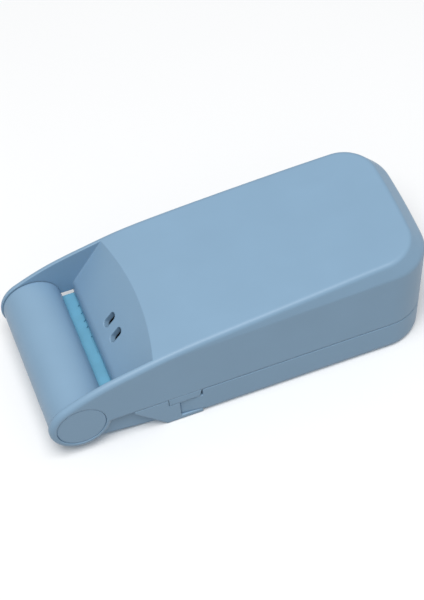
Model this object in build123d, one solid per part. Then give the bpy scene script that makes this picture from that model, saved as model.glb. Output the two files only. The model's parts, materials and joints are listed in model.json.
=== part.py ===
from build123d import *
import math
import os

# Handheld bag heat sealer: a tapered case whose two front arms carry a drum.
# The drum is the hinge barrel of the press jaw under the case.
# While modelling, X = 0 is the drum axis, +X points to the rear, Z = 0 is the table.
# All pieces are moved at export, so that the origin is the middle of the base.

# ---- driving dimensions, mm --------------------------------------------------

# case, outside
body_width = 42.0            # across the arms, at the drum axis
side_taper = 0.0075          # each side comes in by this much per mm to the rear
rear_reach = 89.1            # drum axis to the rear face, at the table
rear_lean = 2.3              # how much further the rear face reaches at shoulder height
rear_bow = 0.8               # bulge of the rear face in plan
corner_radius = 10.8         # rear corners, in plan
crown_corner_radius = 8.8    # rear corners of the top face, in plan
body_height = 30.9           # top of the case at the rear
arm_slope = 27.0             # degrees: the arm's top edge where it leaves the round end
top_points = [(6.3, 21.35), (14.7, 23.5), (23.1, 25.3), (33.6, 26.65), (60.0, 28.9), (93.0, 31.1)]
top_end_slope = 0.06
shoulder_height = 26.2       # foot of the bevel round the top, at the rear
shoulder_tilt = 1.7          # degrees: the foot of the bevel rises to the rear
bevel_side = 1.75            # how far the bevel comes in at the sides, at their rear end
bevel_rear = 4.0             # how far the bevel comes in at the rear
bevel_rise = 5.0             # height over which it does so
bevel_bow = 0.3              # bulge of the bevel's side lines, which start at nothing in front
crown_margin = 4.0           # the bevel is drawn on to this far above the top
split_height = 9.05          # parting plane between the top shell and what is below
wall = 1.8
base_edge_radius = 1.7
shoulder_softness = 3.0      # rounding along the foot of the bevel
rim_radius = 1.3             # rounding along the top edges
parting_bevel = 0.25         # shadow line under the top shell
tray_floor = 2.2

# arms and drum
axis_height = 10.3
arm_radius = 7.8
drum_radius = 7.4
drum_bore_radius = 4.6
arm_gap = 38.8               # between the inner faces of the two arms
hub_radius = 6.1             # round cap that turns in the arm
cap_inset = 0.1              # the cap's face lies this much inside the arm's
cap_bevel = 0.15
spigot_length = 4.0
spigot_wall = 1.4
arm_skirt_bevel = 1.1        # relief at the foot of each arm's inner face
skirt_front_x = 2.0

# thumb recess behind the drum
recess_foot_x = 10.65
recess_foot_rise = 0.6       # lower edge of the recess wall, above the deck's underside
recess_bend_rise = 2.4       # where the wall starts to lean back, above its lower edge
recess_bend_radius = 4.0
recess_wall = 2.25           # thickness of the recess wall, measured level
recess_lean = 48.2           # degrees from level, on the centre line
recess_bow = 3.0             # how far the ridge curves back, at recess_top_height
recess_top_height = 30.0
vent_length = 4.45
vent_width = 2.2
vent_spacing = 4.9
vent_offset = -0.9           # middle of the pair, across the case
vent_rise = 4.8              # middle of the vents, above the bend in the wall
vent_depth = 6.0

# press jaw
jaw_rear_x = 29.75
jaw_floor_height = 0.35
jaw_ramp_x = 22.0            # the sloping front plate meets the floor here
jaw_skin = 1.6
jaw_side_skin = 1.2
jaw_top_drop = 0.2           # top of the jaw, below the parting plane
ear_tip_x = 13.1
ear_tip_depth = 0.8          # blunt front end of the ear
ear_foot_x = 20.6
ear_skin = 1.3
rib_places = (-11.0, -5.5, 5.5, 11.0)
rib_thickness = 1.2
pad_top_drop = 0.05          # top of the pad, below the parting plane
pad_thickness = 1.2
pad_front_x = 7.4
pad_reach = 3.0              # the pad ends this far behind the middle of the heated strip
pad_overhang = 0.1           # pad ends, beyond the sides of the jaw plate
notch_places = (14.6, 12.1, 9.6, 7.5)    # nicks in the pad at the foot of the recess wall
notch_width = 0.7
long_notch_y = 1.8
long_notch_length = 5.6
long_notch_depth = 0.35
window_front_x = 24.25       # window in each ear, round the tray's snap tongue
window_floor_height = 1.4    # deck under the front of the case, and its side keepers
deck_front_x = 11.3
deck_thickness = 1.5
deck_side_inset = 0.55       # the plate's sides, from the arms' inner faces
deck_overlap = 0.4           # the deck reaches this far over the tray's front wall
keeper_front_x = 21.65
keeper_rear_x = 29.4
keeper_height = 2.35
keeper_depth = 3.2
keeper_web = 1.4             # web between the keeper and the deck
keeper_slant = 0.55          # the keeper's rear end leans by this much
tongue_recess = 0.6          # how far the tongue's tip lies below the side face
tongue_thickness = 1.5
tongue_tip_taper = 0.3

# tray
tray_front_x = 30.15
tray_front_chamfer = 1.3
partition_x = 33.9
partition_thickness = 1.0
partition_height = 16.0
spine_thickness = 2.0        # rib from the tray's front wall to the partition
contact_stop_y = 4.0         # two stops behind the rear contact
contact_stop_width = 3.0

# battery door
door_thickness = 1.5
door_recess = 0.25           # the door's face lies this much above the table
door_half_width = 15.0
door_rail = 1.0              # rails stick out this far each side
door_rail_thickness = 0.7
door_front_x = 35.3
grip_lines = 5               # grooves for the fingertip
grip_pitch = 2.4
grip_width = 1.0
grip_half_length = 7.0
grip_depth = 0.4
grip_rear_inset = 9.0

# AA cells
cell_radius = 7.1
cell_length = 50.0
cell_nub_length = 1.4
cell_nub_radius = 2.75
cell_edge_radius = 0.6
cell_gap = 0.8               # between the two cells
cell_floor_gap = 0.45        # between the cells and the door
contact_thickness = 0.4
contact_half_width = 4.5
contact_rise = 1.5           # lower edge of the contacts, above the tray's floor
contact_tab_width = 2.4
contact_tab_rise = 2.0       # the tab stands this far above the partition
contact_spring_depth = 1.8   # room behind the cells for the sprung leaves
leaf_width = 3.0
leaf_half_height = 4.5
leaf_tip_half_height = 1.2
rear_contact_half_width = 9.0
rear_contact_rise = 3.0      # its top, above the parting plane

# heater
heater_room = 0.65           # between the recess wall's foot and the holder
ribbon_width = 3.0
ribbon_thickness = 0.2
ribbon_half_length = 15.6
ribbon_tail = 3.4            # the bent-up ends
tape_thickness = 0.15
tape_width = 6.0
mica_thickness = 0.3
holder_width = 4.4
holder_height = 2.8
holder_flange = 1.2
holder_step = 0.4            # the flange starts this far behind the holder's front
groove_count = 5             # sinks in the holder's top
groove_pitch = 6.0
groove_length = 3.2
groove_floor = 1.4
terminal_thickness = 0.5
terminal_width = 3.0
fuse_radius = 1.2
fuse_half_length = 4.5
fuse_lead_radius = 0.35
fuse_lead_half_length = 9.0
fuse_offset = 1.0            # behind the middle of the strip

# switch
switch_x = 23.0
switch_length = 12.8         # across the case
switch_depth = 6.0
switch_height = 6.6
plunger_radius = 1.4
plunger_drop = 2.45          # how far it hangs below the switch
plunger_travel = 0.8
plunger_bore = 4.2           # depth of the plunger's bore in the switch
plunger_tip_radius = 0.5
striker_wall = 1.2           # the striker's radius is this much larger than the plunger's
pin_places = (-4.0, 0.0, 4.0)
pin_width = 0.5
pin_depth = 1.2
pin_length = 2.5
pin_offset = 0.8             # middle of the pins, behind the middle of the switch
rest_depth = 1.1             # the deck's two end stops for the switch
rest_height = 3.0

# fasteners
screw_radius = 0.9
screw_head_radius = 1.5
screw_head_height = 1.3
screw_slot_width = 0.5
screw_slot_depth = 0.6
screw_length = 9.0
screw_head_seat = 2.0        # depth of the screws' seats in the tray
boss_radius = 2.0
tray_boss_radius = 1.9
tray_screw_x = 33.4
tray_screw_y = 14.0
deck_screw_x = 25.5
deck_screw_y = 14.0

# leads
lead_radius = 0.6
lead_bend = 1.3

# clearances
parting_gap = 0.05           # pieces that are screwed together
seam_gap = 0.15              # visible seams beside the jaw and the door
side_gap = 0.2               # drum and jaw plate to the arms
hinge_clearance = 0.06       # radial, caps in the arms
plunger_clearance = 0.06
heater_gap = 0.1             # pad to tape when the jaw is shut
seat_gap = 0.1               # loose inner pieces in their seats
cell_end_gap = 0.15          # front contact to cell
solder_gap = 0.05            # lead to the piece that it is soldered to
keeper_gap = 0.12            # keeper and tongue to the jaw's ear


# ---- shared geometry ---------------------------------------------------------

beyond = body_width          # half size of the blocks that cut or trim the case
arm_inner_y = arm_gap / 2
jaw_half_width = arm_inner_y - side_gap
jaw_top_height = split_height - jaw_top_drop
pad_top_height = split_height - pad_top_drop
pad_seat_height = pad_top_height - pad_thickness
keeper_bottom_height = split_height - keeper_height
deck_bottom = pad_top_height + heater_gap + tape_thickness
deck_top = deck_bottom + deck_thickness
recess_foot_height = deck_bottom + recess_foot_rise
recess_bend_height = recess_foot_height + recess_bend_rise
heater_x = recess_foot_x + recess_wall + heater_room + holder_width / 2
pad_rear_x = heater_x + pad_reach
strip_top = deck_bottom + ribbon_thickness + mica_thickness
terminal_top = strip_top + ribbon_tail + terminal_thickness
slot_half = ribbon_half_length + ribbon_thickness + terminal_thickness + 2 * seat_gap
cell_spacing = 2 * cell_radius + cell_gap
cell_axis_height = door_recess + door_thickness + cell_floor_gap + cell_radius
contact_x = partition_x + partition_thickness
cell_front_x = contact_x + contact_thickness + cell_end_gap
cell_rear_x = cell_front_x + cell_length
rear_contact_x = cell_rear_x + contact_spring_depth


def half_width(x):
    """Half the width of the case at a distance behind the drum axis."""
    return body_width / 2 - side_taper * x


def block(x0, x1, y0, y1, z0, z1):
    """A box between two corners."""
    size = (x1 - x0, y1 - y0, z1 - z0)
    middle = ((x0 + x1) / 2, (y0 + y1) / 2, (z0 + z1) / 2)
    return Pos(*middle) * Box(*size)


def slice_block(x0, x1, z0, z1):
    """A box right across the case and past both its sides."""
    return block(x0, x1, -beyond, beyond, z0, z1)


def rod(x, y, z0, z1, radius):
    """An upright cylinder."""
    return Pos(x, y, (z0 + z1) / 2) * Cylinder(radius, z1 - z0)


def cross_rod(x, z, y0, y1, radius):
    """A cylinder lying across the case."""
    return Pos(x, (y0 + y1) / 2, z) * Rot(90, 0, 0) * Cylinder(radius, y1 - y0)


def side_plate(edges, y0, y1):
    """A closed outline in the X-Z plane, thick from y0 to y1."""
    face = make_face(Plane.XZ * (Curve() + edges))
    return Pos(0, y0, 0) * extrude(face, y1 - y0, dir=(0, 1, 0))


def polygon_plate(points, y0, y1):
    """A plate with straight edges in the X-Z plane."""
    return side_plate(Polyline(*points, close=True), y0, y1)


def mirrored(solid):
    """The same piece on the other side of the case."""
    return mirror(solid, Plane.XZ)


def largest(shape):
    """The largest solid of a shape."""
    return shape.solids().sort_by(SortBy.VOLUME)[-1]


def plan_outline(plane, rear, front_inset, rear_inset, corner, bow=0.0):
    """Outline of the case seen from above, drawn on a level or tilted plane."""
    front = -arm_radius - 2
    corner_x = rear - rear_bow
    rear_half = half_width(rear) - rear_inset
    front_half = half_width(front) - front_inset
    middle = ((front + corner_x) / 2, (front_half + rear_half) / 2 + bow)
    ends = [(corner_x, rear_half), (front, front_half)]
    if bow > 0:
        left = ThreePointArc(ends[0], middle, ends[1])
        right = ThreePointArc(*[(x, -y) for x, y in (ends[1], middle, ends[0])])
    else:
        left = Line(*ends)
        right = Line(*[(x, -y) for x, y in reversed(ends)])
    nose = Line((front, front_half), (front, -front_half))
    rear_arc = ThreePointArc((corner_x, -rear_half), (rear, 0), (corner_x, rear_half))
    face = make_face(Curve() + [left, nose, right, rear_arc])
    return plane * fillet(face.vertices().sort_by(Axis.X)[-2:], corner)


def plan_block(inset=0.0):
    """The case without its top curve: raked sides below the shoulder, bevel above."""
    tilt = math.radians(shoulder_tilt)
    up = Vector(-math.sin(tilt), 0, math.cos(tilt))
    along = Vector(math.cos(tilt), 0, math.sin(tilt))
    shoulder_origin = Vector(rear_reach, 0, shoulder_height) - along * rear_reach
    crown_rise = body_height + crown_margin - shoulder_height
    share = crown_rise / bevel_rise
    shoulder = Plane(origin=shoulder_origin, x_dir=along, z_dir=up)
    crown = Plane(origin=shoulder_origin + up * crown_rise, x_dir=along, z_dir=up)
    corner = corner_radius - inset
    crown_corner = corner - (corner_radius - crown_corner_radius) * share
    shoulder_rear = rear_reach + rear_lean - inset
    base = plan_outline(Plane.XY.offset(-1), rear_reach - inset, inset, inset, corner)
    middle = plan_outline(shoulder, shoulder_rear, inset, inset, corner)
    top = plan_outline(crown, shoulder_rear - bevel_rear * share, inset, inset + bevel_side * share,
                       crown_corner, bevel_bow)
    return loft([base, middle], ruled=True) + loft([middle, top], ruled=True)


def side_outline(inset=0.0, bottom=split_height):
    """Side view of the case: round arm end, then the top curve, down to a level."""
    radius = arm_radius - inset
    slope = math.radians(arm_slope)
    start = (-radius * math.sin(slope), axis_height + radius * math.cos(slope))
    heights = [(x, z - inset) for x, z in top_points]
    top = Spline(start, *heights, tangents=[(math.cos(slope), math.sin(slope)), (1, top_end_slope)])
    rear = heights[-1]
    if bottom < axis_height - radius:
        low = (-radius * math.sin(slope), bottom)
        front_edges = [Line(low, start)]
    else:
        low = (math.sqrt(radius ** 2 - (axis_height - bottom) ** 2), bottom)
        front_edges = [ThreePointArc(low, (-radius, axis_height), start)]
    corner = (rear[0], bottom)
    return front_edges + [top, Line(rear, corner), Line(corner, low)]


def recess_block(shift=0.0, half=arm_inner_y):
    """Everything in front of the recess wall; shift moves the wall to the rear."""
    front = -arm_radius - 3
    foot_x = recess_foot_x + shift
    low = block(front, foot_x, -half, half, -5, recess_bend_height)
    rise = recess_top_height - recess_bend_height
    centre_x = foot_x + rise / math.tan(math.radians(recess_lean))
    side_x = centre_x - recess_bow * (half / arm_inner_y) ** 2
    bend = Pos((foot_x + front) / 2, 0, recess_bend_height) * Rectangle(foot_x - front, 2 * half)
    ridge = ThreePointArc((side_x, -half), (centre_x, 0), (side_x, half))
    sides = Polyline((side_x, half), (front, half), (front, -half), (side_x, -half))
    lip = Pos(0, 0, recess_top_height) * make_face(Curve() + [sides, ridge])
    lean = loft([bend.face(), lip.face()], ruled=True)
    cutter = low + lean
    bends = edges_where(cutter, lambda m: abs(m.Z - recess_bend_height) < 0.01 and m.X > foot_x - 0.01)
    return fillet(bends, recess_bend_radius) + extrude(lip, beyond)


def edges_where(shape, test):
    """Edges whose middle point passes a test."""
    return [edge for edge in shape.edges() if test(edge @ 0.5)]


def cell_room():
    """The room that the two cells need, with a little play."""
    length = cell_length + cell_end_gap
    room = Pos((cell_front_x + cell_rear_x) / 2, 0, cell_axis_height) * Rot(0, 90, 0)
    tube = room * Cylinder(cell_radius + seat_gap, length)
    return Pos(0, cell_spacing / 2, 0) * tube + Pos(0, -cell_spacing / 2, 0) * tube


# ---- case --------------------------------------------------------------------

def make_top_shell():
    """Upper case with the two arms, hollow behind the recess wall."""
    body = largest(plan_block() & side_plate(side_outline(), -beyond, beyond))
    shoulder = edges_where(body, lambda m: shoulder_height - 3 < m.Z < shoulder_height + 0.5 and m.X > 25)
    body = largest(fillet(shoulder, shoulder_softness))
    is_side_rim = lambda m: abs(m.Y) > 15 and m.Z > shoulder_height - 0.5 and m.X < 80
    is_rear_rim = lambda m: m.Z > body_height - 1.5 and m.X > 80
    is_arm_top = lambda m: m.X < 15 and m.Z > axis_height + 4 and abs(m.Y) > 15
    rim = edges_where(body, lambda m: is_side_rim(m) or is_rear_rim(m) or is_arm_top(m))
    body = largest(fillet(rim, rim_radius))

    body -= recess_block()
    body -= block(-20, deck_front_x + 20, -arm_inner_y, arm_inner_y, -5, recess_foot_height)
    low = split_height - 0.01
    skirt = Polyline((arm_inner_y - 0.01, low), (arm_inner_y + arm_skirt_bevel, low),
                     (arm_inner_y - 0.01, low + arm_skirt_bevel), close=True)
    wedge = extrude(make_face(Plane.YZ * skirt), deck_front_x, dir=(1, 0, 0))
    wedge = Pos(skirt_front_x, 0, 0) * wedge
    body -= wedge
    body -= mirrored(wedge)

    inner_side = side_plate(side_outline(wall, -1), -beyond, beyond)
    hollow = (plan_block(wall) & inner_side) - recess_block(recess_wall, body_width / 2)
    body -= hollow
    body -= cell_room()

    for x, y in screw_places():
        body += rod(x, y, boss_foot(x), body_height, boss_radius) & hollow
        body -= rod(x, y, 0, boss_foot(x) + screw_length, screw_radius)
    vent = vent_cutter()
    for y in (vent_offset - vent_spacing / 2, vent_offset + vent_spacing / 2):
        body -= Pos(0, y, 0) * vent
    hub_hole = cross_rod(0, axis_height, arm_inner_y - 1, beyond, hub_radius + hinge_clearance)
    body -= hub_hole
    body -= mirrored(hub_hole)
    return largest(body)


def vent_cutter():
    """A round-ended slot that runs back through the recess wall."""
    lean = math.radians(recess_lean)
    x = recess_foot_x + vent_rise / math.tan(lean)
    slot = SlotOverall(vent_length, vent_width, rotation=90)
    plane = Plane(origin=(x, 0, recess_bend_height + vent_rise), x_dir=(0, 1, 0),
                  z_dir=(-math.sin(lean), 0, math.cos(lean)))
    return extrude(plane * slot, vent_depth, both=True)


def screw_places():
    """Where the four case screws go."""
    front = [(deck_screw_x, y) for y in (-deck_screw_y, deck_screw_y)]
    rear = [(tray_screw_x, y) for y in (-tray_screw_y, tray_screw_y)]
    return front + rear


def boss_foot(x):
    """Lower end of the screw boss at a place along the case."""
    if x == deck_screw_x:
        return deck_top + parting_gap
    return split_height + parting_gap


def make_tray():
    """Lower rear case: holds the cells, with a snap tongue forward on each side."""
    level = split_height - parting_gap
    tray = largest(plan_block() & slice_block(tray_front_x, rear_reach + 1, 0, level))
    low = edges_where(tray, lambda m: m.Z < 0.01 and m.X > tray_front_x + 1)
    tray = largest(fillet(low, base_edge_radius))
    toe = tray_front_chamfer
    toe_points = [(tray_front_x - 1, -1), (tray_front_x + toe + 1, -1), (tray_front_x - 1, toe + 1)]
    tray -= polygon_plate(toe_points, -beyond, beyond)
    band = slice_block(tray_front_x - 1, rear_reach + 1, level - parting_bevel, level + 1)
    tray -= band - plan_block(parting_bevel)

    tray -= plan_block(wall) & slice_block(tray_front_x + wall, rear_reach, tray_floor, level + 1)
    partition = slice_block(partition_x, contact_x, tray_floor - 0.1, partition_height)
    tray += partition & plan_block(wall + seat_gap)
    tray += block(tray_front_x + wall - 0.1, partition_x + 0.1, -spine_thickness / 2, spine_thickness / 2,
                  tray_floor - 0.1, level - 1)

    door_y = door_half_width
    rail_y = door_y + door_rail
    rail_top = door_recess + door_thickness + seam_gap
    rail_bottom = rail_top - door_rail_thickness - 2 * seam_gap
    tray -= block(door_front_x, rear_reach + 1, -door_y, door_y, -1, tray_floor + 0.01)
    tray -= block(door_front_x, rear_reach + 1, -rail_y, rail_y, rail_bottom, rail_top)

    front_part = slice_block(tray_front_x, contact_x, 0, level)
    for x, y in screw_places()[2:]:
        tray -= rod(x, y, level, beyond, boss_radius + seat_gap)
        tray += rod(x, y, 0.5, level, tray_boss_radius) & front_part
        tray -= rod(x, y, -1, level + 1, screw_radius + seat_gap)
        tray -= rod(x, y, -1, screw_head_seat, screw_head_radius + seat_gap)
    for y in (-contact_stop_y, contact_stop_y):
        stop = block(rear_contact_x, rear_reach, y - contact_stop_width / 2, y + contact_stop_width / 2,
                     tray_floor + contact_rise, level - 1)
        tray += stop & plan_block(wall / 2)
    tray -= cell_room()
    tongue = make_tongue()
    tray += tongue
    tray += mirrored(tongue)
    return largest(tray)


def make_tongue():
    """Snap tongue: leaves the tray flush with its side and dips inward to the front."""
    tip_x = window_front_x + seam_gap
    root_x = tray_front_x + wall
    top = keeper_bottom_height - seam_gap
    bottom = window_floor_height + keeper_gap
    tip_y = half_width(tip_x) - tongue_recess
    outline = [(tip_x, tip_y), (tray_front_x, half_width(tray_front_x)), (root_x, half_width(root_x)),
               (root_x, half_width(root_x) - tongue_thickness),
               (tip_x, tip_y - tongue_thickness + tongue_tip_taper)]
    face = make_face(Polyline(*outline, close=True))
    return Pos(0, 0, bottom) * extrude(face, top - bottom)


def make_battery_door():
    """Sliding cover of the battery bay, flush with the rear face."""
    y = door_half_width - seam_gap
    rail_y = y + door_rail
    front = door_front_x + seam_gap
    top = door_recess + door_thickness
    door = block(front, rear_reach + 1, -y, y, door_recess, top)
    door += block(front, rear_reach + 1, -rail_y, rail_y, top - door_rail_thickness, top)
    outer = largest(plan_block(parting_gap) & slice_block(0, rear_reach + 1, 0, top + 1))
    rear_low = edges_where(outer, lambda m: m.Z < 0.01 and m.X > 1)
    door &= largest(fillet(rear_low, base_edge_radius))
    for i in range(grip_lines):
        x = rear_reach - grip_rear_inset - grip_pitch * i
        door -= block(x, x + grip_width, -grip_half_length, grip_half_length,
                      door_recess - 1, door_recess + grip_depth)
    return largest(door)


def make_deck():
    """Plate that closes the case over the jaw, with a keeper bar on each side."""
    plate_y = arm_inner_y - deck_side_inset
    rear = tray_front_x + deck_overlap
    plate = block(deck_front_x, rear, -plate_y, plate_y, deck_bottom, deck_top)
    plate &= plan_block(wall + seat_gap)
    plate -= slice_block(0, recess_foot_x + recess_wall + seat_gap, recess_foot_height - parting_gap, beyond)
    keeper = make_keeper()
    plate += keeper
    plate += mirrored(keeper)
    slot_half_width = holder_width / 2 + seat_gap
    plate -= block(heater_x - slot_half_width, heater_x + slot_half_width, -slot_half, slot_half, 0, beyond)
    plate -= rod(switch_x, 0, 0, beyond, plunger_radius + 5 * seat_gap)
    for x, y in screw_places()[:2]:
        plate -= rod(x, y, 0, beyond, screw_radius + seat_gap)
    rest = block(switch_x - rest_depth * 2, switch_x + rest_depth * 2, switch_length / 2 + seat_gap,
                 switch_length / 2 + seat_gap + rest_depth, deck_top - 0.1, deck_top + rest_height)
    plate += rest
    plate += mirrored(rest)
    return largest(plate)


def make_keeper():
    """Side bar under the shell's lower edge; the tray's tongue snaps below it."""
    top = split_height - parting_gap
    inner = half_width(keeper_front_x) - keeper_depth
    outline = [(keeper_front_x, keeper_bottom_height), (keeper_rear_x, keeper_bottom_height),
               (keeper_rear_x + keeper_slant, top), (keeper_front_x, top)]
    bar = polygon_plate(outline, inner, beyond) & plan_block()
    return bar + block(keeper_front_x, keeper_rear_x, inner, inner + keeper_web, top - 0.1, deck_bottom + 0.1)


# ---- press jaw -----------------------------------------------------------------

def ramp_touch():
    """Where the sloping plate's underside meets the drum, and touches it smoothly."""
    drop = axis_height - jaw_floor_height
    reach = math.hypot(jaw_ramp_x, drop)
    angle = math.atan2(-drop, jaw_ramp_x) - math.acos(drum_radius / reach)
    return (drum_radius * math.cos(angle), axis_height + drum_radius * math.sin(angle))


def make_jaw():
    """Drum, sloping plate and side ears in one moulding, cored out from above."""
    y = jaw_half_width
    seat_end = pad_rear_x + seat_gap
    outline = [ramp_touch(), (jaw_ramp_x, jaw_floor_height), (jaw_rear_x, jaw_floor_height),
               (jaw_rear_x, jaw_top_height), (seat_end, jaw_top_height), (seat_end, pad_seat_height),
               (0, pad_seat_height)]
    jaw = polygon_plate(outline, -y, y)
    ear_outline = [(ear_tip_x, jaw_top_height), (ear_tip_x, jaw_top_height - ear_tip_depth),
                   (ear_foot_x, jaw_floor_height), (jaw_rear_x, jaw_floor_height),
                   (jaw_rear_x, jaw_top_height)]
    jaw += polygon_plate(ear_outline, -beyond, beyond) & plan_block(parting_gap / 2)
    jaw -= block(0, seat_end, -y - seat_gap, y + seat_gap, pad_seat_height, jaw_top_height + 1)

    touch_x, touch_z = ramp_touch()
    ramp_slope = (jaw_floor_height - touch_z) / (jaw_ramp_x - touch_x)
    core_front = drum_radius + jaw_skin
    floor = jaw_floor_height + jaw_skin
    inner_rear = jaw_rear_x - jaw_skin
    seat_wall_x = pad_rear_x + jaw_skin
    core = [(core_front, floor + (core_front - jaw_ramp_x) * ramp_slope), (jaw_ramp_x, floor),
            (inner_rear, floor), (inner_rear, jaw_top_height + 1), (seat_wall_x, jaw_top_height + 1),
            (seat_wall_x, pad_seat_height - jaw_skin), (core_front, pad_seat_height - jaw_skin)]
    core_y = y - jaw_side_skin
    jaw -= polygon_plate(core, -core_y, core_y)

    keeper_room = block(keeper_front_x - keeper_gap, jaw_rear_x + 1, core_y - 0.1, beyond,
                        keeper_bottom_height - seam_gap, beyond)
    window = block(window_front_x, jaw_rear_x + 1, y - ear_skin, beyond, window_floor_height, beyond)
    web_y = half_width(keeper_front_x) - keeper_depth - 2 * seam_gap
    web_room = block(inner_rear - 0.1, jaw_rear_x + 1, web_y, beyond, window_floor_height, beyond)
    for room in (keeper_room, window, web_room):
        jaw -= room
        jaw -= mirrored(room)

    striker_top = deck_top - plunger_drop - seat_gap
    jaw += rod(switch_x, 0, jaw_floor_height + jaw_skin / 2, striker_top, plunger_radius + striker_wall)
    for rib_y in rib_places:
        jaw += block(core_front - 0.5, seat_wall_x, rib_y - rib_thickness / 2,
                     rib_y + rib_thickness / 2, floor + 0.4, pad_seat_height - 0.5)
    jaw += cross_rod(0, axis_height, -y, y, drum_radius)
    jaw -= cross_rod(0, axis_height, -y - 1, y + 1, drum_bore_radius)
    return largest(jaw)


def make_pad():
    """Silicone strip on the jaw; its rear half presses on the heater."""
    y = jaw_half_width + pad_overhang
    pad = block(pad_front_x, pad_rear_x, -y, y, pad_seat_height, pad_top_height)
    pad -= cross_rod(0, axis_height, -beyond, beyond, drum_radius + parting_gap)
    nick = Rot(0, 0, 45) * Box(notch_width, notch_width, 2 * long_notch_depth)
    for notch_y in notch_places:
        pad -= Pos(recess_foot_x, notch_y, pad_top_height) * nick
    half_notch = long_notch_length / 2
    pad -= block(recess_foot_x - notch_width / 2, recess_foot_x + notch_width, long_notch_y - half_notch,
                 long_notch_y + half_notch, pad_top_height - long_notch_depth, pad_top_height + 1)
    return largest(pad)


def make_cap(side):
    """Round cap: its rim turns in the arm and its spigot is pressed into the drum."""
    face_y = half_width(0) - cap_inset
    spigot_y = jaw_half_width - spigot_length
    cap = cross_rod(0, axis_height, jaw_half_width, face_y, hub_radius)
    cap = chamfer(edges_where(cap, lambda m: m.Y > face_y - 0.01), cap_bevel)
    cap += cross_rod(0, axis_height, spigot_y, jaw_half_width + 0.1, drum_bore_radius)
    cap -= cross_rod(0, axis_height, spigot_y - 1, jaw_half_width, drum_bore_radius - spigot_wall)
    return cap if side > 0 else mirrored(cap)


# ---- heater --------------------------------------------------------------------

def make_tape():
    """Release tape under the heating ribbon, stuck to the deck."""
    z = pad_top_height + heater_gap
    x0 = max(deck_front_x + seat_gap, heater_x - tape_width / 2)
    y = slot_half - 4 * seat_gap
    return block(x0, heater_x + tape_width / 2, -y, y, z, z + tape_thickness)


def make_ribbon():
    """Heating ribbon: flat under the holder, both ends bent up round it."""
    z = deck_bottom
    t = ribbon_thickness
    y = ribbon_half_length
    top = strip_top + ribbon_tail
    outline = [(-y - t, z), (y + t, z), (y + t, top), (y, top), (y, z + t), (-y, z + t), (-y, top),
               (-y - t, top)]
    face = make_face(Plane.YZ * Polyline(*outline, close=True))
    return Pos(heater_x - ribbon_width / 2, 0, 0) * extrude(face, ribbon_width, dir=(1, 0, 0))


def make_mica():
    """Insulating sheet between the ribbon and its holder."""
    y = ribbon_half_length - solder_gap
    half = holder_width / 2
    return block(heater_x - half, heater_x + half, -y, y, deck_bottom + ribbon_thickness, strip_top)


def make_holder():
    """Heat-proof block in the deck's slot, with a flange on top of the deck."""
    y = ribbon_half_length - solder_gap
    half = holder_width / 2
    top = strip_top + holder_height
    holder = block(heater_x - half, heater_x + half, -y, y, strip_top, top)
    holder += block(heater_x - half + holder_step, heater_x + half + holder_flange, -y, y,
                    deck_top + parting_gap, top)
    for i in range(groove_count):
        groove_y = groove_pitch * (i - (groove_count - 1) / 2)
        holder -= block(heater_x - half + 3 * holder_step, heater_x + half - 1.5 * holder_step,
                        groove_y - groove_length / 2, groove_y + groove_length / 2,
                        strip_top + groove_floor, top + 1)
    return largest(holder)


def make_terminals():
    """Brass clips that hold the ribbon's ends and take the leads."""
    inner = ribbon_half_length + ribbon_thickness
    outer = inner + terminal_thickness
    half = terminal_width / 2
    clip = block(heater_x - half, heater_x + half, inner, outer, deck_top + 2 * seat_gap, terminal_top)
    clip += block(heater_x - half, heater_x + 2 * half, inner - 0.9, outer, terminal_top - 0.4, terminal_top)
    return Compound([largest(clip), largest(mirrored(clip))])


def make_fuse():
    """Thermal cut-out lying on the holder."""
    x = heater_x + fuse_offset
    z = strip_top + holder_height + fuse_radius + solder_gap
    fuse = cross_rod(x, z, -fuse_half_length, fuse_half_length, fuse_radius)
    fuse += cross_rod(x, z, -fuse_lead_half_length, fuse_lead_half_length, fuse_lead_radius)
    return largest(fuse)


# ---- switch --------------------------------------------------------------------

def make_switch():
    """Push switch on the deck, with a bore for its plunger."""
    z = deck_top + parting_gap
    top = z + switch_height
    switch = block(switch_x - switch_depth / 2, switch_x + switch_depth / 2, -switch_length / 2,
                   switch_length / 2, z, top)
    switch -= rod(switch_x, 0, z - 1, z + plunger_bore, plunger_radius + plunger_clearance)
    pin_x = switch_x + pin_offset
    for y in pin_places:
        switch += block(pin_x - pin_depth / 2, pin_x + pin_depth / 2, y - pin_width / 2, y + pin_width / 2,
                        top - 0.1, top + pin_length + 0.1)
    return largest(switch)


def make_plunger():
    """Switch plunger: hangs through the deck, just above the jaw's striker."""
    low = deck_top - plunger_drop
    high = deck_top + parting_gap + plunger_bore - plunger_travel - cell_end_gap
    pin = rod(switch_x, 0, low, high, plunger_radius)
    return largest(fillet(edges_where(pin, lambda m: m.Z < low + 0.01), plunger_tip_radius))


# ---- battery bay ---------------------------------------------------------------

def make_cell(y, forward):
    """AA cell; forward is +1 when its positive end points to the front."""
    can = (cell_front_x, cell_rear_x - cell_nub_length)
    nub = (can[1] - 0.1, cell_rear_x)
    if forward > 0:
        can = (cell_front_x + cell_nub_length, cell_rear_x)
        nub = (cell_front_x, can[0] + 0.1)
    lying = Pos(0, y, cell_axis_height) * Rot(0, 90, 0)
    cell = Pos(sum(can) / 2, 0, 0) * lying * Cylinder(cell_radius, can[1] - can[0])
    ends = [edge for edge in cell.edges() if edge.geom_type == GeomType.CIRCLE]
    cell = fillet(ends, cell_edge_radius)
    cell += Pos(sum(nub) / 2, 0, 0) * lying * Cylinder(cell_nub_radius, nub[1] - nub[0])
    return largest(cell)


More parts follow.
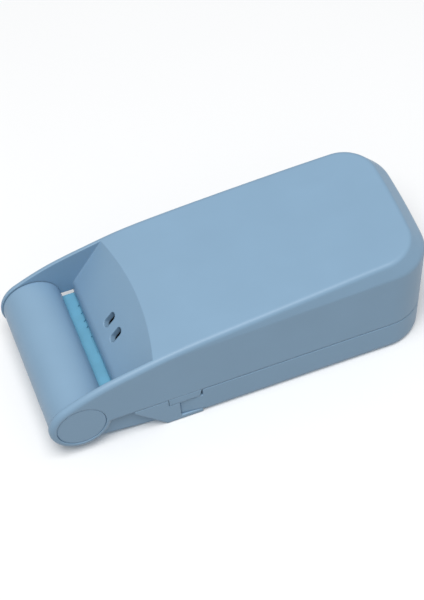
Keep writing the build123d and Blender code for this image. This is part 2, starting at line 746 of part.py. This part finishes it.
def make_front_contact(y):
    """Flat contact plate on the partition, with a tab up to its lead."""
    x1 = contact_x + contact_thickness
    half_tab = contact_tab_width / 2
    plate = block(contact_x, x1, y - contact_half_width, y + contact_half_width,
                  tray_floor + contact_rise, partition_height - 1)
    plate += block(contact_x, x1, y - half_tab, y + half_tab, partition_height - 1.1,
                   partition_height + contact_tab_rise)
    return largest(plate)


def make_rear_contact():
    """Bridge plate on the rear wall, with a sprung leaf to each cell."""
    wall_x = rear_contact_x
    t = contact_thickness
    y_end = rear_contact_half_width
    bridge = block(wall_x - t, wall_x, -y_end, y_end, tray_floor + contact_rise,
                   split_height + rear_contact_rise)
    tip_x = cell_rear_x + seat_gap
    foot_x = wall_x - t - 0.3
    z = cell_axis_height
    high, tip = leaf_half_height, leaf_tip_half_height
    outline = [(wall_x - t / 2, z + high), (tip_x, z + tip), (tip_x, z - tip), (foot_x, z - high),
               (foot_x, z - high + 0.5), (tip_x + t, z - tip + 0.2), (tip_x + t, z + tip - 0.2),
               (wall_x - t / 2, z + high - 0.6)]
    for y in (-cell_spacing / 2, cell_spacing / 2):
        bridge += polygon_plate(outline, y - leaf_width / 2, y + leaf_width / 2)
    return largest(bridge)


# ---- leads and screws ------------------------------------------------------------

def lead(points):
    """An insulated lead along straight runs with round bends."""
    path = FilletPolyline(*points, radius=lead_bend)
    return largest(sweep(Plane(origin=path @ 0, z_dir=path % 0) * Circle(lead_radius), path=path))


def make_leads():
    """Cell to heater, heater to switch, and switch to cell."""
    tab_x = contact_x - lead_radius - solder_gap
    tab_z = partition_height + 2 * lead_radius
    cell_y = cell_spacing / 2
    clip_x = heater_x + 2.4
    clip_y = ribbon_half_length - 0.1
    clip_z = terminal_top + lead_radius + solder_gap
    pin_x = switch_x + pin_offset + pin_depth / 2 + lead_radius + 2 * solder_gap
    pin_y = pin_places[-1]
    pin_z = deck_top + switch_height + 1.7
    return {
        "lead_cell_to_heater": lead([
            (tab_x, cell_y, tab_z), (tab_x - 5, cell_y, tab_z), (clip_x + 5.5, clip_y - 5.2, clip_z + 1.6),
            (clip_x + 3, clip_y, clip_z), (clip_x - 1.2, clip_y, clip_z)]),
        "lead_switch_to_cell": lead([
            (tab_x, -cell_y, tab_z), (tab_x - 4.5, -cell_y, tab_z), (pin_x + 3.5, pin_y, pin_z),
            (pin_x, pin_y, pin_z)]),
        "lead_heater_to_switch": lead([
            (clip_x - 1.2, -clip_y, clip_z), (clip_x + 2.5, -clip_y, clip_z), (switch_x - 1.5, -9, pin_z),
            (pin_x + 2.5, -8.5, pin_z), (pin_x + 2.5, -pin_y, pin_z), (pin_x, -pin_y, pin_z)]),
    }


def make_screws():
    """Four case screws, driven from below into the shell's bosses."""
    screws = []
    for x, y in screw_places():
        top = deck_bottom if x == deck_screw_x else screw_head_seat
        low = top - screw_head_height
        screw = rod(x, y, low, top, screw_head_radius)
        long, short = 1.3, screw_slot_width / 2
        for half_x, half_y in ((long, short), (short, long)):
            screw -= block(x - half_x, x + half_x, y - half_y, y + half_y, low - 1, low + screw_slot_depth)
        screw += rod(x, y, top - 0.1, boss_foot(x) + screw_length - 1, screw_radius)
        screws.append(largest(screw))
    return Compound(screws)


# ---- export --------------------------------------------------------------------

def make_all():
    """Every piece by the name of its node."""
    cell_y = cell_spacing / 2
    pieces = {
        "top_shell": make_top_shell(),
        "bottom_tray": make_tray(),
        "battery_door": make_battery_door(),
        "heater_deck": make_deck(),
        "press_jaw": make_jaw(),
        "silicone_pad": make_pad(),
        "hinge_cap_left": make_cap(1),
        "hinge_cap_right": make_cap(-1),
        "release_tape": make_tape(),
        "heating_ribbon": make_ribbon(),
        "mica_insulator": make_mica(),
        "heater_holder": make_holder(),
        "heater_terminals": make_terminals(),
        "thermal_cutout": make_fuse(),
        "switch_body": make_switch(),
        "switch_plunger": make_plunger(),
        "battery_left": make_cell(cell_y, 1),
        "battery_right": make_cell(-cell_y, -1),
        "front_contact_left": make_front_contact(cell_y),
        "front_contact_right": make_front_contact(-cell_y),
        "rear_contact": make_rear_contact(),
        "case_screws": make_screws(),
    }
    pieces.update(make_leads())
    return pieces


if __name__ == "__main__":
    os.makedirs("parts", exist_ok=True)
    shift = Pos(-(rear_reach + rear_lean - arm_radius) / 2, 0, 0)
    for name, piece in make_all().items():
        export_step(shift * piece, f"parts/{name}.step")
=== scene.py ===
"""Looks of the handheld bag heat sealer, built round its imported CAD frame."""
import json
import math

import bpy
from mathutils import Matrix, Vector


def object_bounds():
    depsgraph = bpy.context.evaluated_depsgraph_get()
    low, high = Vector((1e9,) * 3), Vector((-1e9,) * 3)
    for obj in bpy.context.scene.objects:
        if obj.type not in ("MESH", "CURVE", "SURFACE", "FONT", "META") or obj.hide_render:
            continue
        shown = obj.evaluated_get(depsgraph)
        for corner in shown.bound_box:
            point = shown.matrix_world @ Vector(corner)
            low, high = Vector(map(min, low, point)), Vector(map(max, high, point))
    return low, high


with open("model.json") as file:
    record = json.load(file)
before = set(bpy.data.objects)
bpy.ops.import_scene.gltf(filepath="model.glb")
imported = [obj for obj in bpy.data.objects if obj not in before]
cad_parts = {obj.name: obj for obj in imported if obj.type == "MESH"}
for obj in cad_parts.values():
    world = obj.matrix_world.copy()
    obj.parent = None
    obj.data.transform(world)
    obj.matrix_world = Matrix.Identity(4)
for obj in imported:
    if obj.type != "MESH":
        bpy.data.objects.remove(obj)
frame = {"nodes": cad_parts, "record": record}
cad_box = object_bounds()

MM = 0.001

# ---- colours, linear ---------------------------------------------------------

CASE_BLUE = (0.249, 0.397, 0.548)
JAW_BLUE = (0.252, 0.400, 0.552)
PAD_BLUE = (0.146, 0.405, 0.570)

# ---- sizes of surface detail -------------------------------------------------

EDGE_RADIUS = 0.5 * MM          # moulded edges look rounded by this much
EDGE_HIGHLIGHT_FACTOR = 1.22             # painted highlight on edges, against the flat colour
# how far the painted edge highlight goes at the sharpest edges
EDGE_HIGHLIGHT_SHARE = 0.85
FLAT_DOT, EDGE_DOT = 1.0, 0.85  # bevelled against true normal: flat, and fully an edge
BEVEL_SAMPLES = 6

MOTTLE_SIZE = 14 * MM           # slow change of tone in moulded plastic
FLOW_SIZE = 3 * MM
FLOW_STRETCH = (0.35, 1, 1)     # flow marks run along the case
SPARK_SIZE = 0.22 * MM          # fine texture of the mould
SPARK_HEIGHT = 0.012 * MM
PLASTIC_IOR = 1.48
PLASTIC_SPECULAR = 0.45

WEAVE_SCALE = 227.37            # Blender repeats a band every 2 pi / (20 * scale): 1.4 mm
FLAKE_SIZE = 1.6 * MM


# ---- node helpers --------------------------------------------------------------

class Nodes:
    """A new material and short ways to add and join its nodes."""

    def __init__(self, name):
        self.material = bpy.data.materials.new(name)
        self.material.use_nodes = True
        self.tree = self.material.node_tree
        self.shader = self.tree.nodes["Principled BSDF"]

    def add(self, kind, **settings):
        node = self.tree.nodes.new(kind)
        for key, value in settings.items():
            setattr(node, key, value)
        return node

    def link(self, source, target):
        self.tree.links.new(source, target)

    def coordinates(self, scale=(1, 1, 1)):
        """Object coordinates in metres, stretched by scale."""
        place = self.add("ShaderNodeTexCoord")
        mapping = self.add("ShaderNodeMapping")
        mapping.inputs["Scale"].default_value = scale
        self.link(place.outputs["Object"], mapping.inputs["Vector"])
        return mapping.outputs["Vector"]

    def noise(self, size, detail=3.0, stretch=(1, 1, 1)):
        """Noise whose features are about size metres across."""
        noise = self.add("ShaderNodeTexNoise")
        noise.inputs["Scale"].default_value = 1 / size
        noise.inputs["Detail"].default_value = detail
        self.link(self.coordinates(stretch), noise.inputs["Vector"])
        return noise.outputs["Fac"]

    def spread(self, value, low, high, to_low, to_high):
        """Map a range of a value onto another range."""
        node = self.add("ShaderNodeMapRange")
        ends = {"From Min": low, "From Max": high, "To Min": to_low, "To Max": to_high}
        for key, number in ends.items():
            node.inputs[key].default_value = number
        self.link(value, node.inputs["Value"])
        return node.outputs["Result"]

    def mix(self, share, first, second):
        """Mix two colours by a share, each a socket or a plain value."""
        node = self.add("ShaderNodeMix", data_type="RGBA", blend_type="MIX")
        share_in, first_in, second_in = (node.inputs[i] for i in (0, 6, 7))
        self.link(share, share_in)
        for value, target in ((first, first_in), (second, second_in)):
            if isinstance(value, bpy.types.NodeSocket):
                self.link(value, target)
            else:
                target.default_value = (*value, 1)
        return node.outputs[2]

    def edge_mask(self, radius):
        """1 close to sharp edges and 0 on flat stretches, and a normal that rounds them."""
        bevel = self.add("ShaderNodeBevel", samples=BEVEL_SAMPLES)
        bevel.inputs["Radius"].default_value = radius
        geometry = self.add("ShaderNodeNewGeometry")
        dot = self.add("ShaderNodeVectorMath", operation="DOT_PRODUCT")
        self.link(bevel.outputs["Normal"], dot.inputs[0])
        self.link(geometry.outputs["Normal"], dot.inputs[1])
        mask = self.spread(dot.outputs["Value"], FLAT_DOT, EDGE_DOT, 0.0, 1.0)
        return mask, bevel.outputs["Normal"]

    def bump(self, height, distance, strength=1.0, normal=None):
        """A bump normal from a height, over another normal where one is given."""
        node = self.add("ShaderNodeBump")
        node.inputs["Distance"].default_value = distance
        node.inputs["Strength"].default_value = strength
        self.link(height, node.inputs["Height"])
        if normal is not None:
            self.link(normal, node.inputs["Normal"])
        return node.outputs["Normal"]

    def finish(self, **sources):
        """Join sockets to the shader's inputs of the same names."""
        for name, source in sources.items():
            self.link(source, self.shader.inputs[name.replace("_", " ")])
        return self.material


def shade(colour, factor):
    """A colour made lighter or darker."""
    return tuple(min(1.0, c * factor) for c in colour)


# ---- materials -----------------------------------------------------------------

def moulded_plastic(name, colour, roughness=0.42):
    """Satin moulded plastic: fine spark texture, faint flow mottling, softened edges made paler
    by a painted highlight.
    """
    n = Nodes(name)
    mottle = n.spread(n.noise(MOTTLE_SIZE, 2.0), 0.3, 0.7, 0.0, 1.0)
    flow = n.spread(n.noise(FLOW_SIZE, 4.0, FLOW_STRETCH), 0.25, 0.75, 0.0, 0.35)
    tone = n.mix(mottle, shade(colour, 0.975), shade(colour, 1.02))
    tone = n.mix(flow, tone, shade(colour, 0.97))
    edges, soft_normal = n.edge_mask(EDGE_RADIUS)
    # paler colour along sharp edges: a painted highlight
    painted_highlight = n.spread(edges, 0.0, 1.0, 0.0, EDGE_HIGHLIGHT_SHARE)
    tone = n.mix(painted_highlight, tone, shade(colour, EDGE_HIGHLIGHT_FACTOR))
    spark = n.noise(SPARK_SIZE, 2.0)
    n.shader.inputs["IOR"].default_value = PLASTIC_IOR
    n.shader.inputs["Specular IOR Level"].default_value = PLASTIC_SPECULAR
    return n.finish(
        Base_Color=tone,
        Roughness=n.spread(spark, 0.2, 0.8, roughness - 0.05, roughness + 0.06),
        Normal=n.bump(spark, SPARK_HEIGHT, 0.5, soft_normal))


def silicone(name, colour):
    """Soft silicone rubber: matt, faintly cloudy, with a fine moulded grain."""
    n = Nodes(name)
    cloud = n.spread(n.noise(5 * MM, 3.0), 0.3, 0.7, 0.0, 1.0)
    grain = n.noise(0.3 * MM, 3.0)
    return n.finish(
        Base_Color=n.mix(cloud, shade(colour, 0.93), shade(colour, 1.07)),
        Roughness=n.spread(grain, 0.2, 0.8, 0.52, 0.66),
        Normal=n.bump(grain, 0.02 * MM, 0.5))


def brushed_metal(name, colour, roughness=0.32, stretch=(12, 1, 1)):
    """Rolled or brushed metal: fine lines run along the axes with the smallest stretch."""
    n = Nodes(name)
    lines = n.noise(0.4 * MM, 4.0, stretch)
    streaks = n.spread(lines, 0.3, 0.7, 0.0, 1.0)
    n.shader.inputs["Metallic"].default_value = 1.0
    return n.finish(
        Base_Color=n.mix(streaks, shade(colour, 0.86), shade(colour, 1.1)),
        Roughness=n.spread(lines, 0.2, 0.8, roughness - 0.08, roughness + 0.12),
        Normal=n.bump(lines, 0.01 * MM, 0.4))


def woven_tape(name, colour):
    """Coated glass cloth: a fine square weave under a glossy skin."""
    n = Nodes(name)
    weave = n.add("ShaderNodeMath", operation="MULTIPLY")
    for axis, target in zip(("X", "Y"), weave.inputs):
        wave = n.add("ShaderNodeTexWave", wave_type="BANDS", bands_direction=axis)
        wave.inputs["Scale"].default_value = WEAVE_SCALE
        n.link(n.coordinates(), wave.inputs["Vector"])
        n.link(wave.outputs["Fac"], target)
    threads = weave.outputs[0]
    n.shader.inputs["Roughness"].default_value = 0.3
    return n.finish(
        Base_Color=n.mix(threads, shade(colour, 0.75), shade(colour, 1.15)),
        Normal=n.bump(threads, 0.03 * MM, 0.6))


def flaky_sheet(name, colour):
    """Mica sheet: flakes in slightly different tones and gloss."""
    n = Nodes(name)
    cells = n.add("ShaderNodeTexVoronoi")
    cells.inputs["Scale"].default_value = 1 / FLAKE_SIZE
    n.link(n.coordinates(), cells.inputs["Vector"])
    flakes = cells.outputs["Distance"]
    return n.finish(
        Base_Color=n.mix(flakes, shade(colour, 1.1), shade(colour, 0.8)),
        Roughness=n.spread(flakes, 0.0, 1.0, 0.25, 0.5))


def wire_sleeve(name, colour):
    """Glossy insulation with a faint drawn texture."""
    n = Nodes(name)
    lines = n.noise(0.5 * MM, 2.0)
    streaks = n.spread(lines, 0.3, 0.7, 0.0, 1.0)
    return n.finish(
        Base_Color=n.mix(streaks, shade(colour, 0.9), shade(colour, 1.12)),
        Roughness=n.spread(lines, 0.2, 0.8, 0.3, 0.42))


# slot: maker, colour and any more that the maker takes
SLOTS = {
    "case_plastic": (moulded_plastic, CASE_BLUE),
    "jaw_plastic": (moulded_plastic, JAW_BLUE, 0.38),
    "silicone": (silicone, PAD_BLUE),
    "release_cloth": (woven_tape, (0.34, 0.19, 0.08)),
    "nichrome": (brushed_metal, (0.42, 0.40, 0.38)),
    "mica": (flaky_sheet, (0.58, 0.50, 0.36)),
    "phenolic": (moulded_plastic, (0.020, 0.011, 0.007), 0.5),
    "brass": (brushed_metal, (0.75, 0.52, 0.20)),
    # near-black: a colour such cases have, set this dark also as painted shade for the view
    # through the vents
    "cutout_case": (moulded_plastic, (0.035, 0.034, 0.032), 0.4),
    "switch_plastic": (moulded_plastic, (0.012, 0.012, 0.013), 0.4),
    "plunger_plastic": (moulded_plastic, (0.50, 0.03, 0.02), 0.35),
    "cell_can": (brushed_metal, (0.62, 0.62, 0.60), 0.28, (1, 8, 8)),
    "contact_steel": (brushed_metal, (0.66, 0.65, 0.62), 0.3, (1, 10, 1)),
    "lead_red": (wire_sleeve, (0.36, 0.008, 0.006)),
    "lead_black": (wire_sleeve, (0.010, 0.010, 0.010)),
    "lead_white": (wire_sleeve, (0.70, 0.70, 0.67)),
    "screw_steel": (brushed_metal, (0.50, 0.51, 0.53), 0.3),
}


def dress_cad_nodes():
    """Give every CAD node the material of its slot."""
    materials = {slot: make(slot, *rest) for slot, (make, *rest) in SLOTS.items()}
    slots = {row["node"]: row["material_slot"] for row in frame["record"]["subparts"]}
    for name, obj in frame["nodes"].items():
        obj.data.materials.clear()
        obj.data.materials.append(materials[slots[name]])


# ---- camera, light and floor ---------------------------------------------------

LOOK_AT = Vector((-1.32, 0.21, 13.5)) * MM
CAMERA_AZIMUTH = 14.89      # degrees from +Y towards +X: the way the camera looks
CAMERA_ELEVATION = 51.82
CAMERA_ROLL = -6.38
CAMERA_DISTANCE = 533.5 * MM
LENS = 132.0
SENSOR_WIDTH = 36
NEAR_CLIP = 0.01

FLOOR_HALF = 3.0
FLOOR_TONES = ((0.97, 0.97, 0.97), (0.99, 0.99, 0.99))
FLOOR_CLOUD = 80 * MM
FLOOR_ROUGHNESS = 0.7

SURROUND_COLOUR = (0.96, 0.98, 1.0, 1)
SURROUND_STRENGTH = 0.40
KEY_PLACE = (-0.12, -0.30, 1.0)
KEY_SIZE = 0.6
KEY_POWER = 8.6


def add_camera():
    """Camera at the photo's viewpoint: in front of the drum end, high, on the -Y side."""
    azimuth = math.radians(CAMERA_AZIMUTH)
    elevation = math.radians(CAMERA_ELEVATION)
    level = Vector((math.sin(azimuth), math.cos(azimuth), 0))
    forward = level * math.cos(elevation) + Vector((0, 0, -math.sin(elevation)))
    camera = bpy.data.objects.new("camera", bpy.data.cameras.new("camera"))
    bpy.context.scene.collection.objects.link(camera)
    camera.data.lens = LENS
    camera.data.sensor_width = SENSOR_WIDTH
    camera.data.clip_start = NEAR_CLIP
    roll = Matrix.Rotation(math.radians(CAMERA_ROLL), 3, "Z")
    turn = forward.to_track_quat("-Z", "Y").to_matrix() @ roll
    camera.matrix_world = Matrix.Translation(LOOK_AT - forward * CAMERA_DISTANCE) @ turn.to_4x4()
    bpy.context.scene.camera = camera


def add_floor():
    """Plain pale floor under the lowest point of the part."""
    low = cad_box[0][2]
    corners = [(x * FLOOR_HALF, y * FLOOR_HALF, low)
               for x, y in ((-1, -1), (1, -1), (1, 1), (-1, 1))]
    mesh = bpy.data.meshes.new("floor")
    mesh.from_pydata(corners, [], [(0, 1, 2, 3)])
    floor = bpy.data.objects.new("floor", mesh)
    bpy.context.scene.collection.objects.link(floor)
    n = Nodes("floor")
    n.shader.inputs["Roughness"].default_value = FLOOR_ROUGHNESS
    mesh.materials.append(n.finish(Base_Color=n.mix(n.noise(FLOOR_CLOUD, 2.0), *FLOOR_TONES)))
    floor.visible_diffuse = False       # the white floor throws no light up onto the sides


def add_light():
    """An even pale surround and one soft square light that faces the part."""
    world = bpy.data.worlds.new("surround")
    world.use_nodes = True
    background = world.node_tree.nodes["Background"]
    background.inputs["Color"].default_value = SURROUND_COLOUR
    background.inputs["Strength"].default_value = SURROUND_STRENGTH
    bpy.context.scene.world = world

    data = bpy.data.lights.new("key", "AREA")
    data.size = KEY_SIZE
    data.energy = KEY_POWER
    light = bpy.data.objects.new("key", data)
    bpy.context.scene.collection.objects.link(light)
    light.location = KEY_PLACE
    light.rotation_euler = (LOOK_AT - Vector(KEY_PLACE)).to_track_quat("-Z", "Y").to_euler()


dress_cad_nodes()
add_camera()
add_floor()
add_light()
bpy.context.scene.view_settings.view_transform = "Standard"
